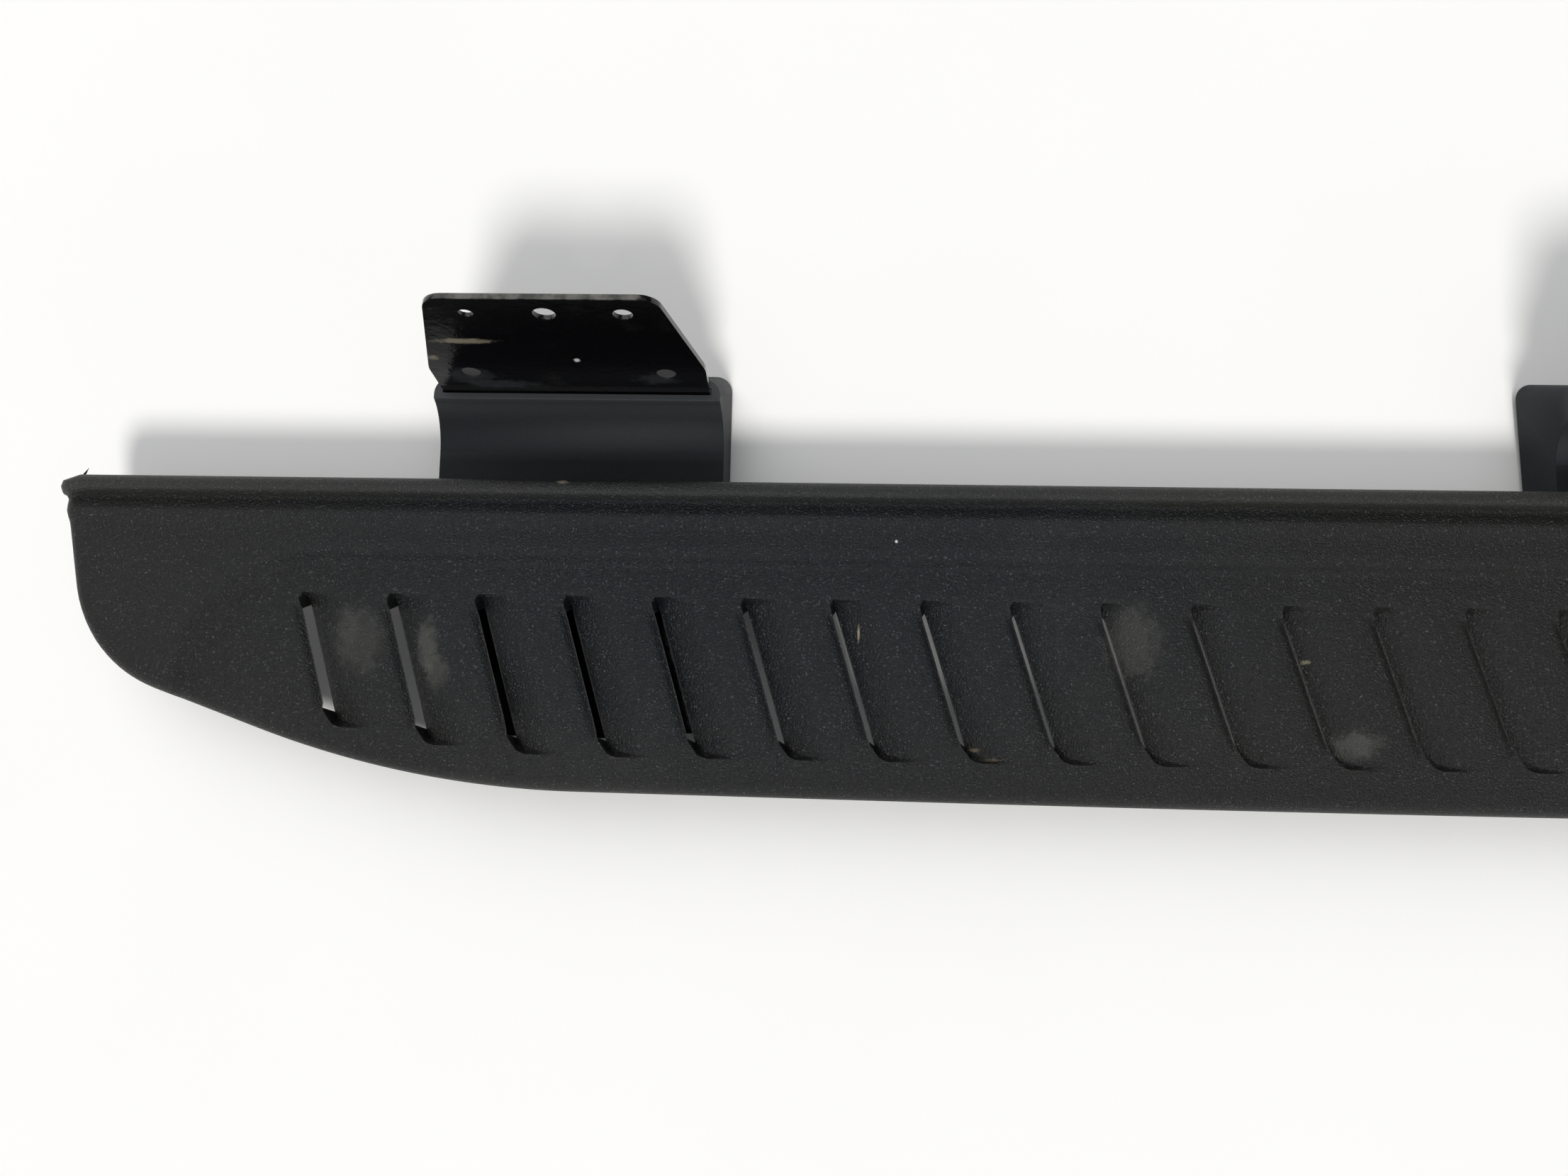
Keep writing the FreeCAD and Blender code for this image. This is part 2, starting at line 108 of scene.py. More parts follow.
# Each end corner has its distance from the board's tip, its depth from the lip's face and its radius
END_CORNERS = [(0.0, 0.0, 8.0), (20.0, 106.0, 76.0), (208.0, 172.7, 560.0)]
BOW = (0.0, LIP_FACE - 181.3, 42000.0)
ARC_STEP, EVEN_STEP = 4.0, 1.0

left_end = [(-HALF_LENGTH + x, LIP_FACE - depth, radius) for x, depth, radius in END_CORNERS]
right_end = [(-x, y, radius) for x, y, radius in reversed(left_end)]
outline = resampled(arc_walk(left_end + [BOW] + right_end, ARC_STEP), EVEN_STEP)
inner = inward(outline, RIM)
print("outline points", len(outline))

# %% [markdown]
# ## The pressed surface
# Above its outline the sheet is a height: a band that slopes gently outwards, a tread pressed below it behind a soft
# step, and a roll, a groove and a lip along the vehicle. It could be sculpted or cut from boxes with bevels, but a
# height that is a formula keeps every bend even along two metres. A press never leaves a sharp bend, so steps are
# joined by soft minimum and maximum functions, and the ridge's polyline is averaged along its own length.

# %% Soft joins
SOFTNESS = 0.75


def soft_max(a, b, softness):
    """The larger of two heights, with the corner between them rounded: the logarithm of their summed exponentials."""
    return softness * np.logaddexp(a / softness, b / softness)


def soft_min(a, b, softness):
    """The smaller of two heights, rounded in the same way."""
    return -soft_max(-a, -b, softness)


def ease(t):
    """Smooth ramp from 0 to 1: three squares less two cubes."""
    t = np.clip(t, 0, 1)
    return t * t * (3 - 2 * t)


def bell(distance, width):
    """One at no distance and nothing far away: the exponential of minus the square of the distance in widths."""
    return np.exp(-((distance / width) ** 2))


print("a soft corner lies", round(float(soft_max(0.0, 0.0, SOFTNESS)), 2), "mm off the sharp one")

# %% Band and tread
STEP_LINE, STEP_HEIGHT, FADE_LINE = 24.0, 4.5, -95.0
TREAD_END, TREAD_CORNER = HALF_LENGTH - 76.0, 75.0


def tread_height(x, y):
    """Band height, cut down to the tread inside a rounded rectangle with a wall that climbs one for one."""
    band = STEP_HEIGHT * (y - FADE_LINE) / (STEP_LINE - FADE_LINE)
    across, along = np.abs(x) - TREAD_END + TREAD_CORNER, y - STEP_LINE + TREAD_CORNER
    outside = np.hypot(np.maximum(across, 0), np.maximum(along, 0)) - TREAD_CORNER
    outside += np.minimum(np.maximum(across, along), 0)
    return soft_min(band, soft_max(0 * band, outside, SOFTNESS), SOFTNESS)


step_sides = tread_height(np.zeros(2), np.array([0.0, STEP_LINE + 2 * STEP_HEIGHT]))
print("heights below and above the step", step_sides.round(2))

# %% Ridge along the vehicle
RIDGE_START = 38.0
# Distance across the board and height at each bend: band, foot of the roll, roll, groove, lip
RIDGE_PATH = [(0.0, 3.6), (44.0, 5.3), (51.2, 7.8), (59.3, 4.4), (62.2, 12.1), (90.0, 12.0)]
RIDGE_BEND, RIDGE_STEP, RIDGE_ROWS = 3.8, 0.1, 26


def ridge_section():
    """Ridge polyline walked finely, averaged over a bend's length, then cut to even rows up to the lip's top."""
    corners = np.array(RIDGE_PATH)
    walked = np.concatenate([[0], np.cumsum(np.hypot(*np.diff(corners, axis=0).T))])
    fine = np.arange(0, walked[-1], RIDGE_STEP)
    width = int(RIDGE_BEND / RIDGE_STEP)
    kernel = np.ones(width) / width
    y, z = (np.convolve(np.interp(fine, walked, corners[:, k]), kernel, "valid") for k in (0, 1))
    first, last = np.searchsorted(y, RIDGE_START), np.searchsorted(y, LIP_FACE - RIM)
    pick = np.linspace(first, last, RIDGE_ROWS).astype(int)
    return y[pick], z[pick]


ridge_y, ridge_z = ridge_section()
print("ridge from", round(ridge_y[0], 1), "to", round(ridge_y[-1], 1), "lip top", round(ridge_z.max(), 2))

# %% [markdown]
# ## Louvres
# Each louvre is sheared along a slanted slit and pressed down to its right, so the sheet has a hole with one edge on
# the tread and the other at the foot of a ramp. Cutting holes with a Boolean would leave ragged faces there. A grid
# whose columns lean with the slits is cleaner: the hole is a run of missing faces between two columns, and the ramp
# is a height over the columns that follow. Near the board's ends the columns turn into the raked outline.

# %% Leaning columns
SLANT = math.tan(math.radians(16.6))
PITCH, SHIFT = 50.0, -2.0
LOUVRE_NUMBERS = np.arange(-16, 16)
LOUVRE_GAP = 3.0
# Distances past a slit at which columns stand, closest together where the sheet bends
ACROSS = np.array([-12, -5.5, -3.6, -2.2, -1, 0, LOUVRE_GAP, 4.2, 5.6, 7.8, 11, 14.5, 18, 20.5, 22.5, 25, 29, 33.5])
END_COLUMNS = 30
HAIR = 0.01

slit = LOUVRE_NUMBERS * PITCH + SHIFT
lean = np.add.outer(slit, ACROSS).ravel()
past_slit = np.tile(ACROSS, len(slit))
blend = np.linspace(0, 1, END_COLUMNS, endpoint=False)
share_left = np.concatenate([blend, np.ones(len(lean) + END_COLUMNS)])
share_right = np.concatenate([np.zeros(END_COLUMNS + len(lean)), 1 - blend[::-1]])
lean_all = np.pad(lean, END_COLUMNS, mode="edge")
print("louvres", len(slit), "columns", len(lean_all))


# %% Rim lines that the columns meet
def closest(path, place):
    """Number of the path's point that lies closest to a place."""
    return np.argmin(np.hypot(path[:, 0] - place[0], path[:, 1] - place[1]))


tip, corner = closest(inner, left_end[0]), closest(inner, left_end[1])
side = np.roll(inner, -tip, 0)[: (corner - tip) % len(inner) + 1]
side = side[np.argsort(side[:, 1])]
corner_x, corner_y = inner[corner]
lower = inner[(inner[:, 1] < corner_y + HAIR) & (np.abs(inner[:, 0]) <= -corner_x)]
lower = lower[np.argsort(lower[:, 0])]


def outboard_line(x):
    """Inner line of the outboard rim at a distance along the board."""
    return np.interp(x, lower[:, 0], lower[:, 1])


def left_side(y):
    """Inner line of the left end's rim at a distance across the board."""
    return np.interp(y, side[:, 1], side[:, 0])


def column_x(y):
    """Columns lean with the slits, and near the ends they turn step by step into the raked end."""
    slanted = lean_all - y * SLANT
    x = left_side(y) * (1 - share_left) + slanted * share_left
    return x * (1 - share_right) - left_side(y) * share_right


print("the left end turns outboard at", inner[corner].round(1))

# %% Foot and head of each louvre
LOUVRE_WIDTH, LOUVRE_TOP, LOUVRE_FOOT, EDGE_MARGIN = 21.4, 4.7, -82.6, 20.6
HEAD_ROUND, HEAD_FADE = 3.5, 4.0
FOOT_ROUND, FOOT_FADE = 9.0, 6.0
TONGUE_RISE, TONGUE_WIDTH = 4.6, 3.5
HALVINGS = 60

# Each column is followed to the rim by halving the distance that is left
bottom = np.full(len(lean_all), LOUVRE_FOOT)
for _ in range(HALVINGS):
    bottom = (bottom + outboard_line(column_x(bottom))) / 2


def corner_rise(radius, fade):
    """Rise of a round corner right of the slit: the radius less the circle's height. Left of it, a bell fades it."""
    inside = np.clip(past_slit, 0, radius)
    rise = radius - np.sqrt(radius**2 - (radius - inside) ** 2)
    return rise * bell(np.minimum(past_slit, 0), fade)


reach = LOUVRE_WIDTH - LOUVRE_FOOT * SLANT
foot = np.maximum(LOUVRE_FOOT, outboard_line(slit + reach) - RIM + EDGE_MARGIN)
foot = np.repeat(foot, len(ACROSS)) + corner_rise(FOOT_ROUND, FOOT_FADE)
head = LOUVRE_TOP - corner_rise(HEAD_ROUND, HEAD_FADE)
past_gap = past_slit - LOUVRE_GAP
tongue = np.where(past_gap >= 0, TONGUE_RISE * bell(past_gap, TONGUE_WIDTH), 0)
print("louvres are", round(head.max() - foot.min(), 1), "mm long at most")

# %% Rows of the grid
# Shares of the way up from the rim, then distances from the louvre's foot, shares of its length and so on
BOTTOM_ROWS = np.array([0, 0.25, 0.5, 0.75])
FOOT_ROWS = np.array([-3, -1.0, -0.4, 0.3, 1.0, 4.5])
TONGUE_ROWS = np.array([0, 0, 0, 0.25, 1, 1])
MIDDLE_ROWS = np.array([0.1, 0.25, 0.4, 0.55, 0.7, 0.85, 0.95])
HEAD_ROWS = np.array([-4.4, -2.0, -0.9, 0.3, 1.4, 2.6])
STEP_ROWS = np.array([12, 17, 20, 22, 23.5, 25, 26.5, 28.5, 31, 34.5])

low, high = foot + FOOT_ROWS[-1] + tongue, head + HEAD_ROWS[0]
under = bottom[END_COLUMNS:-END_COLUMNS]
rows = np.vstack([under + np.multiply.outer(BOTTOM_ROWS, foot + FOOT_ROWS[0] - under),
                  np.add.outer(FOOT_ROWS, foot) + np.multiply.outer(TONGUE_ROWS, tongue),
                  low + np.multiply.outer(MIDDLE_ROWS, high - low),
                  np.add.outer(HEAD_ROWS, head),
                  np.repeat(STEP_ROWS[:, None], len(lean), 1)])
share = (rows - under) / (RIDGE_START - under)
share = np.pad(share, ((0, 0), (END_COLUMNS, END_COLUMNS)), mode="edge")
grid_y = np.vstack([bottom + share * (RIDGE_START - bottom), np.repeat(ridge_y[:, None], len(lean_all), 1)])
grid_x = np.stack([column_x(y) for y in grid_y])
print("grid", grid_y.shape)

# %% [markdown]
# ## Heights over the grid
# The ramp is deepest at the slit and climbs back to the tread, a little hollow, as sheet does when it is drawn down.
# The cut edges matter most for the look: the tread's side rolls over into the slit, and the ramp's side drops in a
# fine lip. Both are bells, so that they shade softly, and short walls close the louvre at its head and foot.

# %% Grid heights
LOUVRE_DEPTH, RAMP_WIDTH, RAMP_SOFTNESS, SCOOP = 9.3, 24.5, 1.8, 1.2
ROLLOVER, ROLL_WIDTH, ROLL_FADE = 3.0, 2.1 * math.sqrt(2), 6.0
EDGE_DROP, EDGE_WIDTH = 1.5, 2.5
FOOT_WALL, HEAD_WALL, RIDGE_JOIN = 2.2, 4.0, 4.0

ramp = LOUVRE_DEPTH * (soft_max(RAMP_WIDTH - past_slit, 0 * past_slit, RAMP_SOFTNESS) / RAMP_WIDTH) ** SCOOP
ramp += EDGE_DROP * bell(past_gap, EDGE_WIDTH)
ramp = np.where(past_slit > 0, ramp, ROLLOVER * bell(past_slit, ROLL_WIDTH))
middle = slice(END_COLUMNS, -END_COLUMNS)
past_foot, before_head = grid_y[:, middle] - foot, head - grid_y[:, middle]
within = ease(past_foot / FOOT_WALL + 0.5) * ease(before_head / HEAD_WALL + 0.5)
within = np.where(past_slit > 0, within, ease(past_foot / ROLL_FADE) * ease(before_head / ROLL_FADE))
grid_z = tread_height(grid_x, grid_y)
grid_z[:, middle] -= ramp * within
tread_rows = len(share)
join = ease((grid_y[tread_rows:] - RIDGE_START) / RIDGE_JOIN)
grid_z[tread_rows:] = grid_z[tread_rows:] * (1 - join) + ridge_z[:, None] * join
print("lowest ramp", round(grid_z.min(), 2), "lip", round(grid_z.max(), 2))

# %% [markdown]
# ## Rim, thickness and mesh
# The rim folds down all round the outline. It could be extruded by hand from the border. Here it is a ring of rows
# that leaves the grid's border, turns through a quarter circle and drops to the skirt's edge, so the fold is exact.
# Solidify then gives the whole sheet its real thickness, holes included, which is how sheet metal is best drawn.

# %% Faces of the grid
count_y, count_x = grid_y.shape
numbers = np.arange(count_y * count_x).reshape(count_y, count_x)
quads = np.stack([numbers[:-1, :-1], numbers[:-1, 1:], numbers[1:, 1:], numbers[1:, :-1]], -1)
first_open = len(BOTTOM_ROWS) + np.argmax(TONGUE_ROWS == 1)
last_open = len(BOTTOM_ROWS) + len(FOOT_ROWS) + len(MIDDLE_ROWS)
slit_columns = END_COLUMNS + np.flatnonzero(past_slit == 0)
keep = np.ones(quads.shape[:2], bool)
keep[first_open:last_open, slit_columns] = False
points = np.stack([grid_x, grid_y, grid_z], -1).reshape(-1, 3)
print("faces left out for the slits", np.count_nonzero(~keep))

# %% Rim and skirt
RIM_TURN = np.radians([18, 36, 54, 72, 90])
SKIRT_DEEP, SKIRT_LIP, SKIRT_FROM, SKIRT_TO = 26.0, 12.0, -40.0, 30.0
BATCHES = 20


def nearest_on(path, places):
    """Numbers of the path's points nearest to many places, worked out in batches to save memory."""
    batches = np.array_split(places, BATCHES)
    return np.concatenate([np.argmin(((batch[:, None] - path) ** 2).sum(-1), 1) for batch in batches])


border = np.concatenate([numbers[::-1, 0], numbers[0, 1:], numbers[1:, -1], numbers[-1, -2:0:-1]])
edge = points[border]
out = outline[nearest_on(inner, edge[:, :2])] - edge[:, :2]
rings = []
for angle in RIM_TURN:
    rings.append(np.column_stack([edge[:, :2] + out * math.sin(angle), edge[:, 2] - RIM * (1 - math.cos(angle))]))
rise = np.clip((edge[:, 1] - SKIRT_FROM) / (SKIRT_TO - SKIRT_FROM), 0, 1)
skirt = -SKIRT_DEEP + (SKIRT_DEEP - SKIRT_LIP) * rise
rings.append(np.column_stack([rings[-1][:, :2], (rings[-1][:, 2] + skirt) / 2]))
rings.append(np.column_stack([rings[-1][:, :2], skirt]))
ring_numbers = np.vstack([border, len(points) + np.arange(len(rings) * len(border)).reshape(len(rings), -1)])
after = np.roll(ring_numbers, -1, 1)
ring_quads = np.stack([ring_numbers[:-1], ring_numbers[1:], after[1:], after[:-1]], -1).reshape(-1, 4)
print("rim rings", len(rings), "of", len(border), "points")

# %% Board mesh
SHEET = 3.0
SHARP_ANGLE = math.radians(38)


def new_piece(name, points, faces):
    """Object at the origin from points in millimetres in the drawing's frame, riding on the one body."""
    mesh = bpy.data.meshes.new(name)
    mesh.from_pydata((np.asarray(points) + HOME) * MM, [], np.asarray(faces).tolist())
    mesh.validate()
    piece = bpy.data.objects.new(name, mesh)
    scene.collection.objects.link(piece)
    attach(piece, "root")
    return piece


def finished(piece):
    """Applies the piece's modifiers and shades it smooth, with sharp edges only where the faces really turn."""
    graph = bpy.context.evaluated_depsgraph_get()
    mesh = bpy.data.meshes.new_from_object(piece.evaluated_get(graph))
    piece.modifiers.clear()
    piece.data = mesh
    mesh.polygons.foreach_set("use_smooth", np.ones(len(mesh.polygons), bool))
    mesh.set_sharp_from_angle(angle=SHARP_ANGLE)
    return piece


board = new_piece("pressed_board", np.vstack([points, *rings]), np.vstack([quads[keep], ring_quads]))
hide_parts("step_board")
thickness = board.modifiers.new("sheet", "SOLIDIFY")
thickness.thickness = SHEET * MM
thickness.offset = -1
thickness.use_even_offset = True
thickness.thickness_clamp = 1
finished(board)
print("board faces", len(board.data.polygons))

# %% [markdown]
# ## Shared finishes
# Paint, plastic and zinc all carry a fine grain and drifts of dust, and several pieces have single marks. Each effect
# could be copied into every material. As a shader node group with named sockets it is built once, and a material
# only says how coarse, how strong or where it should be. First come helpers that keep the node code short.

# %% Node helpers
SOCKET_KINDS = {"float": "NodeSocketFloat", "vector": "NodeSocketVector"}


def add(tree, kind, links=(), **values):
    """Node of a kind in a tree: values set its properties, and links join (socket, source) pairs or set numbers."""
    node = tree.nodes.new("ShaderNode" + kind)
    for key, value in values.items():
        setattr(node, key, value)
    for name, source in links:
        if isinstance(source, bpy.types.NodeSocket):
            tree.links.new(source, node.inputs[name])
        else:
            node.inputs[name].default_value = source
    return node


def new_group(name, inputs, outputs):
    """Empty shader group with named sockets, returned with its two end nodes."""
    group = bpy.data.node_groups.new(name, "ShaderNodeTree")
    for label, kind, value in inputs:
        socket = group.interface.new_socket(label, in_out="INPUT", socket_type=SOCKET_KINDS[kind])
        if value is not None:
            socket.default_value = value
    for label in outputs:
        group.interface.new_socket(label, in_out="OUTPUT", socket_type=SOCKET_KINDS["float"])
    return group, group.nodes.new("NodeGroupInput"), group.nodes.new("NodeGroupOutput")


def placed(tree, group, **values):
    """A shared group inside a material's tree, with links or numbers for its inputs."""
    return add(tree, "Group", values.items(), node_tree=group)


print("group sockets hold", sorted(SOCKET_KINDS))


# %% Node arithmetic
def noise(tree, vector, scale, detail=3.0, rough=0.55):
    """Factor of a noise texture."""
    links = [("Vector", vector), ("Scale", scale), ("Detail", detail), ("Roughness", rough)]
    return add(tree, "TexNoise", links).outputs["Fac"]


def between(tree, value, low, high):
    """Value as a mask: 0 below a low mark, 1 above a high one, smooth between."""
    links = [("Value", value), ("From Min", low), ("From Max", high)]
    return add(tree, "MapRange", links, interpolation_type="SMOOTHSTEP").outputs["Result"]


def spread(tree, value, low, high):
    """Value from 0 to 1 spread evenly over another range."""
    return add(tree, "MapRange", [("Value", value), ("To Min", low), ("To Max", high)]).outputs["Result"]


def maths(tree, operation, *numbers):
    """One arithmetic step."""
    return add(tree, "Math", enumerate(numbers), operation=operation).outputs[0]


def blended(tree, first, second, weight):
    """Sum of two values, the second with a weight and the first with the rest."""
    return maths(tree, "ADD", maths(tree, "MULTIPLY", first, 1 - weight), maths(tree, "MULTIPLY", second, weight))


def mixed(tree, factor, first, second):
    """Mix of two colours, whose sockets on the Mix node are numbers six and seven."""
    return add(tree, "Mix", [(0, factor), (6, first), (7, second)], data_type="RGBA").outputs[2]


def laid(tree, colour, mask, strength, over):
    """A colour with another one laid over it where a mask says, at a strength."""
    return mixed(tree, maths(tree, "MULTIPLY", mask, strength), colour, over)


print("node helpers are ready")


# %% Groups for grain, dust and marks
def grain_group():
    """Powder coat grain: two scales of noise give bumps, and the finer one picks out bright specks, which the board
    coat also uses as painted glints.
    """
    inputs = [("Vector", "vector", None), ("Scale", "float", 900.0)]
    group, start, end = new_group("coat_grain", inputs, ["Height", "SpecksAndGlints"])
    vector, scale = start.outputs["Vector"], start.outputs["Scale"]
    fine = noise(group, vector, scale, detail=2.0, rough=0.6)
    coarse = noise(group, vector, maths(group, "MULTIPLY", scale, 0.35), detail=2.0, rough=0.5)
    group.links.new(blended(group, fine, coarse, 0.15), end.inputs["Height"])
    group.links.new(between(group, fine, 0.6, 0.72), end.inputs["SpecksAndGlints"])
    return group


def dust_group():
    """Dust in drifts: a broad noise decides where, and a finer one breaks its border up."""
    inputs = [("Vector", "vector", None), ("Scale", "float", 8.0), ("Least", "float", 0.5)]
    group, start, end = new_group("dust_drift", inputs, ["Mask"])
    vector, scale, least = (start.outputs[name] for name in ("Vector", "Scale", "Least"))
    broad = noise(group, vector, scale, detail=4.0, rough=0.6)
    fine = noise(group, vector, maths(group, "MULTIPLY", scale, 30.0), detail=3.0, rough=0.6)
    most = maths(group, "ADD", least, 0.22)
    group.links.new(between(group, blended(group, broad, fine, 0.2), least, most), end.inputs["Mask"])
    return group


def patch_group():
    """Soft ragged spot at a place: the distance to it in three radii, shaken by noise, fades to nothing at one."""
    inputs = [("Vector", "vector", None), ("Centre", "vector", None), ("Radii", "vector", (0.01, 0.01, 0.01))]
    group, start, end = new_group("soft_patch", inputs, ["Mask"])
    vector, centre, radii = (start.outputs[name] for name in ("Vector", "Centre", "Radii"))
    away = add(group, "VectorMath", [(0, vector), (1, centre)], operation="SUBTRACT").outputs[0]
    scaled = add(group, "VectorMath", [(0, away), (1, radii)], operation="DIVIDE").outputs[0]
    distance = add(group, "VectorMath", [(0, scaled)], operation="LENGTH").outputs["Value"]
    ragged = maths(group, "MULTIPLY_ADD", noise(group, vector, 170.0, detail=6.0, rough=0.7), 1.6, -0.8)
    group.links.new(between(group, maths(group, "ADD", distance, ragged), 1.0, 0.35), end.inputs["Mask"])
    return group


GRAIN, DUST, PATCH = grain_group(), dust_group(), patch_group()
print("groups", GRAIN.name, DUST.name, PATCH.name)

# %% [markdown]
# ## Board coat
# The board wears a fine-textured black powder coat with pale specks, which also paint in its sparkle as glints. It is
# cooler in the middle and warmer at the ends, dusty near some louvres and along the lip, and paler on its edges,
# partly from rubbing and partly a painted highlight along the rounded rims. An image could hold all that, but nodes
# stay sharp at any distance. Single marks are soft patches with a centre and radii in millimetres.

# %% Colours and marks
COOL_COAT, WARM_COAT = (0.001, 0.0018, 0.0031, 1), (0.0045, 0.0038, 0.0024, 1)
# The speck colour also paints the coat's sparkle as glints. The rubbed colour paints wear on the plates' top edge,
# and painted highlight on the board's rims and along the cover's crease.
SPECK_AND_GLINT_COAT, DUST_COAT, RUBBED_AND_HIGHLIGHT_COAT = (0.08, 0.086, 0.095, 1), (0.075, 0.075, 0.066, 1), (0.085, 0.083, 0.076, 1)
SCRAPED, TAN, PALE, RUST = (0.2, 0.18, 0.13, 1), (0.3, 0.26, 0.17, 1), (0.6, 0.6, 0.57, 1), (0.13, 0.1, 0.07, 1)
SHEEN = (0.9, 0.95, 1, 1)
COOL_CENTRE, COOL_RADII = (-540, 0, 60), (330, 140, 90)
# Each mark has its centre, its radii, its colour and its strength
BOARD_MARKS = [((-766, -44, 53), (19, 24, 20), DUST_COAT, 0.28), ((-774, -36, 53), (9, 17, 20), DUST_COAT, 0.2),
               ((-728, -46, 50), (8, 19, 20), DUST_COAT, 0.6), ((-722, -60, 51), (9, 13, 20), DUST_COAT, 0.4),
               ((-335, -37, 51), (21, 27, 20), DUST_COAT, 0.35), ((-214, -92, 50), (16, 11, 20), DUST_COAT, 0.55),
               ((-238, -47, 48), (3.2, 1.8, 20), TAN, 0.5), ((-654, 46.8, 67), (4, 2, 9), SCRAPED, 1.0),
               ((-466, 16, 59), (1.2, 1.2, 9), PALE, 1.0), ((-486.4, -34.7, 51), (0.9, 6, 9), TAN, 0.8),
               ((-422, -98.5, 46), (5, 1.6, 9), RUST, 0.7), ((-413, -104, 50), (7, 1.3, 9), RUST, 0.7)]
print("marks on the board", len(BOARD_MARKS))


# %% Parts of a finish
def new_material(name):
    """Material with its tree, its one Principled shader and the Object coordinates."""
    material = bpy.data.materials.new(name)
    material.use_nodes = True
    tree = material.node_tree
    shader = next(node for node in tree.nodes if node.type == "BSDF_PRINCIPLED")
    return material, tree, shader, add(tree, "TexCoord").outputs["Object"]


def patch_mask(tree, place, centre, radii):
    """Mask of a soft patch, with its centre and radii in millimetres."""
    patch = placed(tree, PATCH, Vector=place, Centre=np.array(centre) * MM, Radii=np.array(radii) * MM)
    return patch.outputs["Mask"]


def marked(tree, place, colour, marks):
    """A colour with soft patches laid over it, one after another."""
    for centre, radii, mark, strength in marks:
        colour = laid(tree, colour, patch_mask(tree, place, centre, radii), strength, mark)
    return colour


def band_mask(tree, place, axis, low, high):
    """Mask that grows between two distances along an axis, in millimetres."""
    along = add(tree, "SeparateXYZ", [(0, place)]).outputs[axis]
    return between(tree, along, low * MM, high * MM)


def bumped(tree, shader, height, distance):
    """Bump from a height that stands for a distance in millimetres at one."""
    bump = add(tree, "Bump", [("Height", height), ("Distance", distance * MM), ("Strength", 1.0)])
    tree.links.new(bump.outputs["Normal"], shader.inputs["Normal"])


print("finish helpers are ready")

# %% Textured black coat
LIP_DUST = (35.5, 39.5)
EDGE_POINTINESS = (0.52, 0.6)


def board_coat():
    """Textured black coat: cool in the middle and warmer at the ends, with bright specks that also paint its glints,
    dust, and edges paler from wear and painted highlight.
    """
    material, tree, shader, place = new_material("board_coat")
    grain = placed(tree, GRAIN, Vector=place, Scale=900.0)
    drift = placed(tree, DUST, Vector=place, Scale=7.0, Least=0.53)
    edges = between(tree, add(tree, "NewGeometry").outputs["Pointiness"], *EDGE_POINTINESS)
    colour = mixed(tree, patch_mask(tree, place, COOL_CENTRE, COOL_RADII), WARM_COAT, COOL_COAT)
    # Pale grain specks, which also paint the coat's sparkle as glints
    colour = laid(tree, colour, grain.outputs["SpecksAndGlints"], 0.9, SPECK_AND_GLINT_COAT)
    colour = laid(tree, colour, drift.outputs["Mask"], 0.08, DUST_COAT)
    # Paler edges: partly rubbed wear, partly a painted highlight along the rounded rims
    colour = laid(tree, colour, edges, 0.45, RUBBED_AND_HIGHLIGHT_COAT)
    colour = laid(tree, colour, band_mask(tree, place, "Y", *LIP_DUST), 0.2, DUST_COAT)
    tree.links.new(marked(tree, place, colour, BOARD_MARKS), shader.inputs["Base Color"])
    tree.links.new(spread(tree, grain.outputs["Height"], 0.3, 0.58), shader.inputs["Roughness"])
    shader.inputs["Specular IOR Level"].default_value = 0.34
    shader.inputs["Specular Tint"].default_value = SHEEN
    bumped(tree, shader, grain.outputs["Height"], 1.4)
    return material


finishes = {"board_coat": board_coat()}
print("board coat nodes", len(finishes["board_coat"].node_tree.nodes))

# %% [markdown]
# ## Bracket coat
# The brackets are steel dipped in gloss black paint. It mirrors the studio, so most of the plate looks darker than
# the board, and what shows is wear: a scrape and chips at one end, dusty smears near its foot, and a top edge rubbed
# through. The wear on the top edge is a height mask broken up by noise, which follows the edge on every plate.

# %% Gloss black dip
# The smear colour paints dusty smears on the plates and a painted highlight on the covers
GLOSS_COAT, SMEAR_AND_HIGHLIGHT_COAT = (0.002, 0.002, 0.0025, 1), (0.035, 0.037, 0.041, 1)
WORN_TOP = (158.0, 158.6)
PLATE_MARKS = [((-699, 110, 115.6), (22, 9, 3.6), SCRAPED, 0.75), ((-720.6, 107.4, 96.4), (4, 9, 4), SCRAPED, 0.6),
               ((-642.3, 107.3, 95.4), (2.2, 9, 2.4), PALE, 0.8), ((-708, 104.5, 76), (20, 12, 11), SMEAR_AND_HIGHLIGHT_COAT, 0.5),
               ((-690, 103, 66), (28, 12, 6), SMEAR_AND_HIGHLIGHT_COAT, 0.5), ((-601, 104, 73.6), (15, 12, 9), SMEAR_AND_HIGHLIGHT_COAT, 0.4)]


def bracket_coat():
    """Gloss black dip coat, scraped and dusty in places and worn along the plate's top edge."""
    material, tree, shader, place = new_material("bracket_coat")
    grain = placed(tree, GRAIN, Vector=place, Scale=220.0)
    drift = placed(tree, DUST, Vector=place, Scale=26.0, Least=0.55)
    colour = laid(tree, GLOSS_COAT, drift.outputs["Mask"], 0.1, DUST_COAT)
    colour = marked(tree, place, colour, PLATE_MARKS)
    broken = between(tree, noise(tree, place, 130.0), 0.36, 0.7)
    colour = laid(tree, colour, band_mask(tree, place, "Z", *WORN_TOP), broken, RUBBED_AND_HIGHLIGHT_COAT)
    tree.links.new(colour, shader.inputs["Base Color"])
    tree.links.new(spread(tree, drift.outputs["Mask"], 0.14, 0.4), shader.inputs["Roughness"])
    bumped(tree, shader, grain.outputs["Height"], 0.2)
    return material


finishes["bracket_coat"] = bracket_coat()
print("marks on the plate", len(PLATE_MARKS))

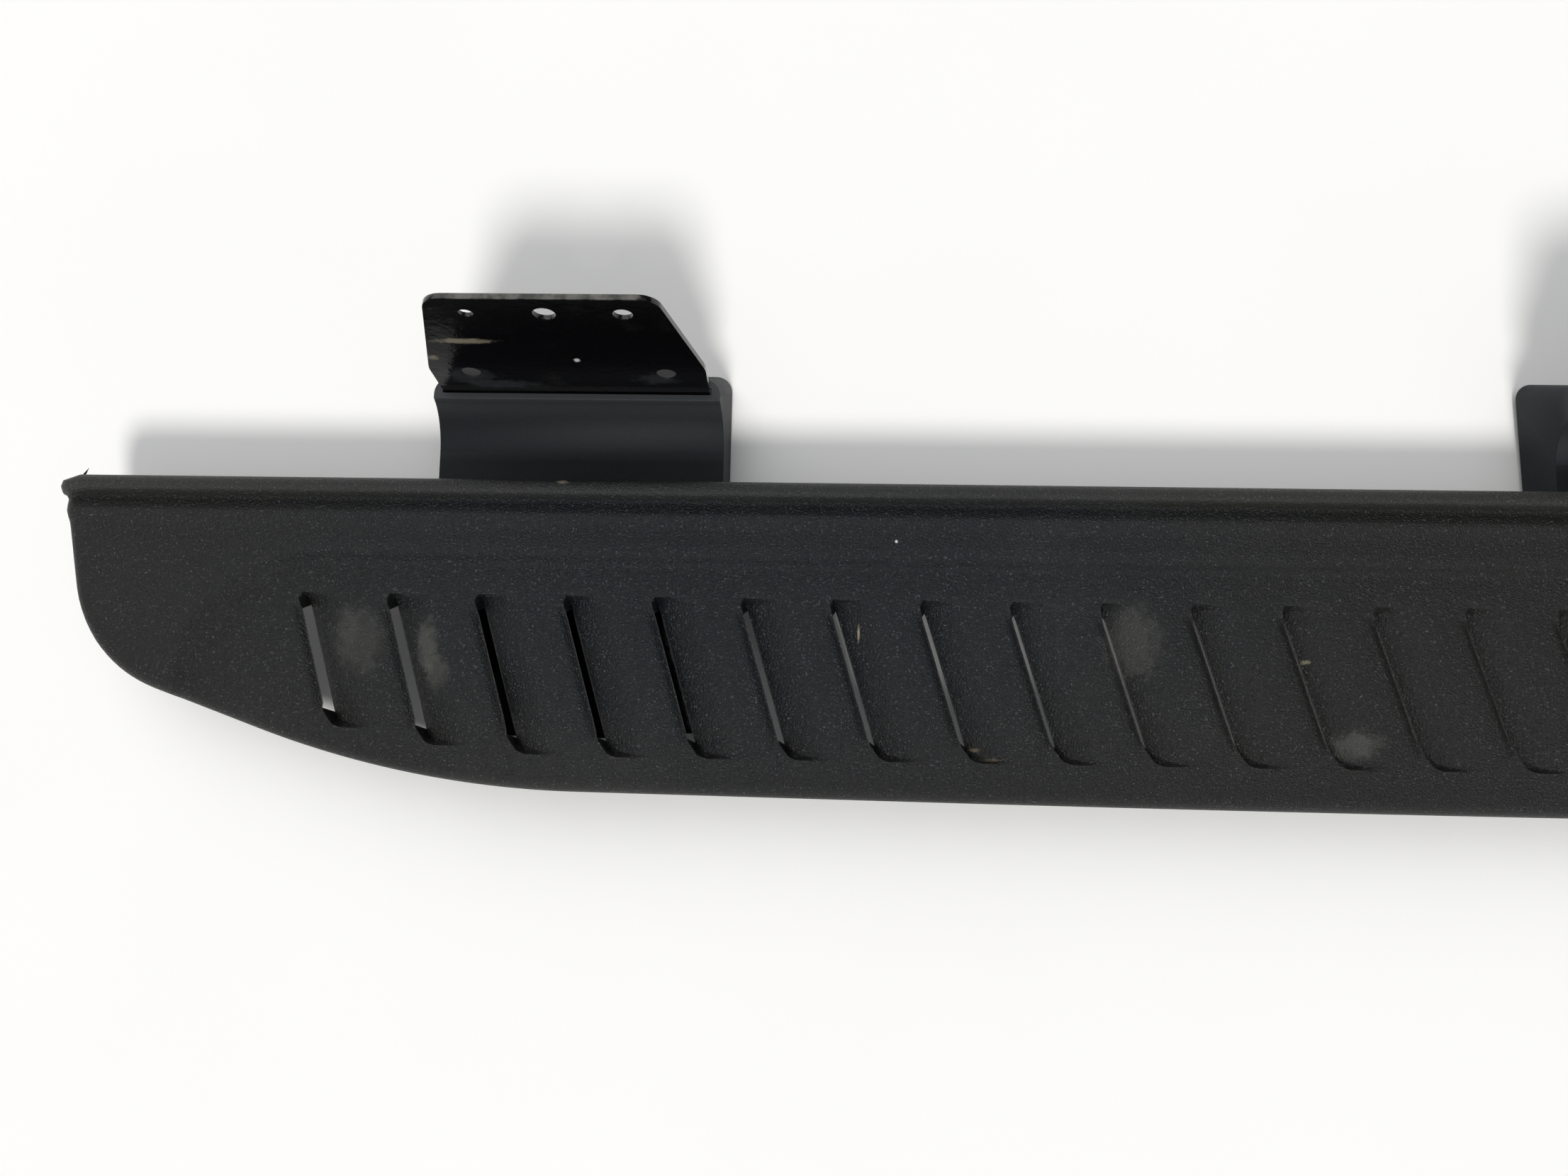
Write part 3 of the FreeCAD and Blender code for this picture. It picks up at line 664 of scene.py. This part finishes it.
# %% [markdown]
# ## Cover plastic and small finishes
# The covers are moulded in satin black plastic. Their upper part carries a painted highlight that grows paler towards
# the crease, and a thin painted highlight line runs along the crease. Clips, plated fasteners and rubber pads are
# small or hidden, so one plain recipe serves them: a colour broken by drifts of a second one, and a light grain.

# %% Satin plastic
COVER_COLOUR = (0.004, 0.0052, 0.007, 1)
COVER_TOP = HOME[2] + 1.0
# Band over which a painted highlight makes the cover paler towards its crown
PAINTED_HIGHLIGHT_BAND = (COVER_TOP - 17.0, COVER_TOP - 6.0)
# Thin band of painted highlight along the crease
CREASE_HIGHLIGHT = (COVER_TOP - 2.2, COVER_TOP - 0.6)


def cover_plastic():
    """Satin black moulded plastic, with a painted highlight growing paler towards the crease and a painted highlight
    line along it.
    """
    material, tree, shader, place = new_material("cover_plastic")
    grain = placed(tree, GRAIN, Vector=place, Scale=1500.0)
    drift = placed(tree, DUST, Vector=place, Scale=12.0, Least=0.52)
    colour = laid(tree, COVER_COLOUR, drift.outputs["Mask"], 0.1, DUST_COAT)
    # Painted highlight: paler towards the crown
    colour = laid(tree, colour, band_mask(tree, place, "Z", *PAINTED_HIGHLIGHT_BAND), 0.6, SMEAR_AND_HIGHLIGHT_COAT)
    # Painted highlight line along the crease
    colour = laid(tree, colour, band_mask(tree, place, "Z", *CREASE_HIGHLIGHT), 0.12, RUBBED_AND_HIGHLIGHT_COAT)
    tree.links.new(colour, shader.inputs["Base Color"])
    tree.links.new(spread(tree, grain.outputs["Height"], 0.54, 0.68), shader.inputs["Roughness"])
    shader.inputs["Specular IOR Level"].default_value = 0.3
    shader.inputs["Specular Tint"].default_value = SHEEN
    bumped(tree, shader, grain.outputs["Height"], 0.25)
    return material


finishes["cover_plastic"] = cover_plastic()
print("cover crown at", round(COVER_TOP, 1), "mm")

# %% Small finishes
# Colour, second colour, roughness, metallic, scale of the grain and its height in millimetres
SMALL_FINISHES = {
    "clip_plastic": ((0.05, 0.05, 0.052, 1), (0.09, 0.088, 0.08, 1), 0.5, 0, 900, 0.2),
    "plated_steel": ((0.5, 0.5, 0.48, 1), (0.35, 0.33, 0.28, 1), 0.35, 1, 700, 0.1),
    "pad_rubber": ((0.012, 0.012, 0.012, 1), (0.03, 0.03, 0.028, 1), 0.75, 0, 1200, 0.3),
}
ROUGH_SPREAD = 0.1


def plain_finish(name, colour, worn, roughness, metallic, scale, height):
    """Simple finish: a colour broken by drifts of a second one, and a light grain."""
    material, tree, shader, place = new_material(name)
    grain = placed(tree, GRAIN, Vector=place, Scale=scale)
    drift = placed(tree, DUST, Vector=place, Scale=40.0, Least=0.48)
    tree.links.new(mixed(tree, drift.outputs["Mask"], colour, worn), shader.inputs["Base Color"])
    rough = spread(tree, grain.outputs["Height"], roughness - ROUGH_SPREAD, roughness + ROUGH_SPREAD)
    tree.links.new(rough, shader.inputs["Roughness"])
    shader.inputs["Metallic"].default_value = metallic
    bumped(tree, shader, grain.outputs["Height"], height)
    return material


for name, values in SMALL_FINISHES.items():
    finishes[name] = plain_finish(name, *values)
board.data.materials.clear()
board.data.materials.append(finishes["board_coat"])
for part in frame["record"]["subparts"]:
    for place in frame["nodes"][part["node"]].material_slots:
        place.material = finishes[part["material_slot"]]
print("finishes", sorted(finishes))

# %% [markdown]
# ## Softened CAD edges
# Folded steel and moulded plastic have no knife edges. The pieces could be modelled again with round edges, but the
# CAD nodes are already the right shape and keep their meshes: a Weld joins their loose triangles while rendering, a
# planar Decimate clears flat faces, and an angle-limited Bevel rounds the real edges.

# %% Bevels on CAD nodes
BEVELS = {"bracket": 0.5, "gussets": 0.4, "cover": 0.9, "cover_clips": 0.35, "hex_nuts": 0.4, "support_pads": 0.6}
WELD_GAP, BEVEL_STEPS = 0.01, 2
FLAT_ANGLE, BEVEL_ANGLE = math.radians(1), math.radians(35)
for kind, width in BEVELS.items():
    for name in BRACKETS:
        node = frame["nodes"][f"{kind}_{name}"]
        weld = node.modifiers.new("weld", "WELD")
        weld.merge_threshold = WELD_GAP * MM
        flat = node.modifiers.new("flat_faces", "DECIMATE")
        flat.decimate_type = "DISSOLVE"
        flat.angle_limit = FLAT_ANGLE
        bevel = node.modifiers.new("bevel", "BEVEL")
        bevel.width = width * MM
        bevel.segments = BEVEL_STEPS
        bevel.limit_method = "ANGLE"
        bevel.angle_limit = BEVEL_ANGLE
        bevel.harden_normals = True
print("bevelled", sorted(BEVELS))

# %% [markdown]
# ## Floor
# The step lies on a plain pale floor that catches its shadow. One wide quad is enough. It lies a hair below the part
# so that no faces meet, and it is clear from below, so the underside can be looked at too.

# %% Pale floor
FLOOR_LEVEL, FLOOR_REACH = -0.0005, 30.0
FLOOR_COLOURS = (0.86, 0.86, 0.86, 1), (0.9, 0.9, 0.895, 1)
floor_corners = [(x * FLOOR_REACH, y * FLOOR_REACH, FLOOR_LEVEL) for x, y in [(-1, -1), (1, -1), (1, 1), (-1, 1)]]
floor_mesh = bpy.data.meshes.new("floor")
floor_mesh.from_pydata(floor_corners, [], [(0, 1, 2, 3)])
floor = bpy.data.objects.new("floor", floor_mesh)
scene.collection.objects.link(floor)
floor_material, tree, shader, place = new_material("pale_floor")
tree.links.new(mixed(tree, noise(tree, place, 3.0), *FLOOR_COLOURS), shader.inputs["Base Color"])
shader.inputs["Roughness"].default_value = 0.9
below, clear = add(tree, "NewGeometry").outputs["Backfacing"], add(tree, "BsdfTransparent").outputs["BSDF"]
surface = add(tree, "MixShader", [(0, below), (1, shader.outputs["BSDF"]), (2, clear)])
tree.links.new(surface.outputs["Shader"], tree.nodes["Material Output"].inputs["Surface"])
floor_mesh.materials.append(floor_material)
print("floor of", 2 * FLOOR_REACH, "m at", FLOOR_LEVEL, "m")

# %% [markdown]
# ## Light
# Black paint shows little of its own colour, so its look is what it mirrors. An even white sky would make it flat
# grey. This sky is graded by height instead: pale overhead, dark halfway down and pale again at the horizon, as in
# a studio with a lit ceiling and a backdrop. Two far soft lamps, a key from the outboard side and a wide fill from
# behind, give the same level all over the floor.

# %% Graded sky
SKY_BASE, CEILING, HORIZON = 0.05, 0.62, 0.85
CEILING_FROM, CEILING_TO, BACKDROP_FROM, BACKDROP_TO = 0.55, 0.95, 0.36, 0.24
SKY_COLOUR, BACKDROP_COLOUR = (0.94, 0.975, 1, 1), (1, 1, 1, 1)
scene.world = bpy.data.worlds.new("studio")
scene.world.use_nodes = True
tree = scene.world.node_tree
sky = tree.nodes["Background"]
upwards = add(tree, "SeparateXYZ", [(0, add(tree, "TexCoord").outputs["Generated"])]).outputs["Z"]
backdrop = between(tree, upwards, BACKDROP_FROM, BACKDROP_TO)
tree.links.new(mixed(tree, backdrop, SKY_COLOUR, BACKDROP_COLOUR), sky.inputs["Color"])
ceiling = maths(tree, "MULTIPLY", between(tree, upwards, CEILING_FROM, CEILING_TO), CEILING)
horizon = maths(tree, "MULTIPLY", backdrop, HORIZON)
level = maths(tree, "ADD", maths(tree, "ADD", ceiling, horizon), SKY_BASE)
tree.links.new(level, sky.inputs["Strength"])
print("sky level overhead", SKY_BASE + CEILING, "at the horizon", SKY_BASE + HORIZON)

# %% Two soft lamps
LAMP_COLOUR = (1, 0.975, 0.94)


def soft_sun(name, towards, strength, spread_degrees):
    """Far lamp with a wide disc, turned so that its light comes from a direction given as x, y and z."""
    data = bpy.data.lights.new(name, "SUN")
    data.energy = strength
    data.angle = math.radians(spread_degrees)
    data.color = LAMP_COLOUR
    lamp = bpy.data.objects.new(name, data)
    x, y, z = towards
    lamp.rotation_euler = (math.atan2(math.hypot(x, y), z), 0, math.atan2(x, -y))
    scene.collection.objects.link(lamp)
    return lamp


lamps = [soft_sun("key", (0.03, -0.76, 1.0), 2.1, 13), soft_sun("fill", (-0.45, 0.75, 1.0), 0.95, 60)]
print("lamps", [lamp.name for lamp in lamps])

# %% [markdown]
# ## Camera
# The camera stands where the photograph was taken: almost straight above the outer edge, left of the middle.

# %% Camera above the board
CAMERA_PLACE, CAMERA_TURN = (-0.5109, -0.1127, 0.7221), (8.74, 1.35, 1.02)
SENSOR_WIDTH, LENS, CLIP_START = 36.0, 27.67, 0.01
camera = bpy.data.objects.new("camera", bpy.data.cameras.new("camera"))
camera.location = CAMERA_PLACE
camera.rotation_euler = tuple(math.radians(angle) for angle in CAMERA_TURN)
camera.data.sensor_width = SENSOR_WIDTH
camera.data.lens = LENS
camera.data.clip_start = CLIP_START
scene.collection.objects.link(camera)
scene.camera = camera
scene.view_settings.view_transform = "Standard"
print("camera", CAMERA_PLACE, "with a lens of", LENS, "mm")
